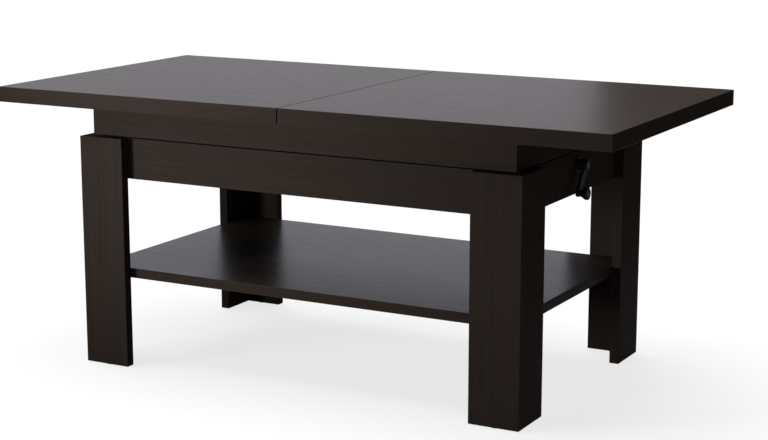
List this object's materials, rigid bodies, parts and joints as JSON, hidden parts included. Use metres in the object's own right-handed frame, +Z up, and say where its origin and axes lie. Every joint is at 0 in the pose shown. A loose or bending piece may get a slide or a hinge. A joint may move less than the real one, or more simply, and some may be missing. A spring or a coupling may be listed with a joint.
{
  "type": "convertible coffee dining table",
  "caption": "Low table with L-shaped board legs, a shelf and a crank-driven scissor lift that raises a split, sliding top over a stored extension leaf.",
  "frame": {"origin": "on the floor, at the centre of the table", "axes": "+X along the length towards the crank end, -Y the front, +Z up"},
  "size_m": [1.2, 0.6, 0.5083],
  "materials": {
    "dark_laminate": "satin",
    "beech": "raw",
    "black_steel": "satin",
    "bright_steel": "zinc plated",
    "dark_steel": "oil blackened",
    "grey_nylon": "moulded",
    "black_plastic": "moulded",
    "cast_alloy": "as cast",
    "bronze": "machined"
  },
  "bodies": {
    "base": {"leg_front_left_face": "dark_laminate", "leg_front_left_side": "dark_laminate", "leg_back_left_face": "dark_laminate", "leg_back_left_side": "dark_laminate", "leg_front_right_face": "dark_laminate", "leg_front_right_side": "dark_laminate", "leg_back_right_face": "dark_laminate", "leg_back_right_side": "dark_laminate", "lower_apron_front": "dark_laminate", "lower_apron_back": "dark_laminate", "lower_apron_left": "dark_laminate", "lower_apron_right": "dark_laminate", "shelf": "dark_laminate", "foot_glides": "grey_nylon", "leg_screws": "bright_steel", "shelf_dowels": "beech", "lower_lift_rail_front": "black_steel", "lower_lift_rail_back": "black_steel", "lower_pivot_blocks": "grey_nylon", "spindle_bearing": "cast_alloy", "crank_bush": "black_plastic", "tail_bar": "black_steel", "base_screws": "bright_steel", "gap_strips": "black_plastic"},
    "outer_arms": {"outer_arm_front": "black_steel", "outer_arm_back": "black_steel", "fixed_shaft": "bright_steel", "outer_arm_pins": "bright_steel"},
    "inner_arms": {"inner_arm_front": "black_steel", "inner_arm_back": "black_steel", "drive_shaft": "bright_steel", "upper_pivot_pins": "bright_steel"},
    "shoes_above": {"upper_shoes": "grey_nylon"},
    "drive_carriage": {"lower_shoes": "grey_nylon", "drive_nut": "bronze"},
    "crank": {"spindle": "dark_steel", "thrust_collar": "dark_steel", "crank_arm": "black_steel", "knob_pin": "dark_steel"},
    "knob": {"crank_knob": "black_plastic"},
    "upper_frame": {"upper_apron_front": "dark_laminate", "upper_apron_back": "dark_laminate", "upper_apron_left": "dark_laminate", "upper_apron_right": "dark_laminate", "upper_lift_rail_front": "black_steel", "upper_lift_rail_back": "black_steel", "upper_pivot_blocks": "grey_nylon", "slide_rail_front": "black_steel", "slide_rail_back": "black_steel", "corner_angles": "bright_steel", "frame_screws": "bright_steel", "leaf_bearers": "black_steel", "extension_leaf": "dark_laminate"},
    "left_top": {"top_left_half": "dark_laminate", "left_runners": "cast_alloy", "left_runner_screws": "bright_steel"},
    "right_top": {"top_right_half": "dark_laminate", "right_runners": "cast_alloy", "right_runner_screws": "bright_steel", "alignment_dowels": "beech"}
  },
  "joints": [
    {"name": "lift", "type": "hinge", "parent": "base", "child": "outer_arms", "pos_m": [-0.25735, 0, 0.372], "axis": [0, -1, 0], "range_deg": [0, 23.62]},
    {"name": "scissor_cross", "type": "hinge", "parent": "outer_arms", "child": "inner_arms", "pos_m": [0, 0, 0.409], "axis": [0, -1, 0], "range_deg": [-47.25, 0]},
    {"name": "frame_level", "type": "hinge", "parent": "inner_arms", "child": "upper_frame", "pos_m": [-0.25735, 0, 0.446], "axis": [0, -1, 0], "range_deg": [0, 23.63]},
    {"name": "upper_shoe_level", "type": "hinge", "parent": "outer_arms", "child": "shoes_above", "pos_m": [0.25735, 0, 0.446], "axis": [0, -1, 0], "range_deg": [-23.63, 0]},
    {"name": "carriage_level", "type": "hinge", "parent": "inner_arms", "child": "drive_carriage", "pos_m": [0.25735, 0, 0.372], "axis": [0, -1, 0], "range_deg": [0, 23.63]},
    {"name": "crank_turn", "type": "hinge", "parent": "base", "child": "crank", "pos_m": [0.421, 0, 0.402], "axis": [1, 0, 0], "range_deg": [-3275.27, 0]},
    {"name": "knob_spin", "type": "hinge", "parent": "crank", "child": "knob", "pos_m": [0.441, -0.03361, 0.35897], "axis": [1, 0, 0], "continuous": true},
    {"name": "top_left_slide", "type": "slide", "parent": "upper_frame", "child": "left_top", "axis": [-1, 0, 0], "range_m": [0, 0.2]},
    {"name": "top_right_slide", "type": "slide", "parent": "upper_frame", "child": "right_top", "axis": [1, 0, 0], "range_m": [0, 0.2]}
  ],
  "couplings": [
    {"joint": "scissor_cross", "follows": "lift", "ratio": -2},
    {"joint": "frame_level", "follows": "lift", "ratio": 1},
    {"joint": "upper_shoe_level", "follows": "lift", "ratio": -1},
    {"joint": "carriage_level", "follows": "lift", "ratio": 1},
    {"joint": "crank_turn", "follows": "lift", "ratio": -138.63}
  ]
}
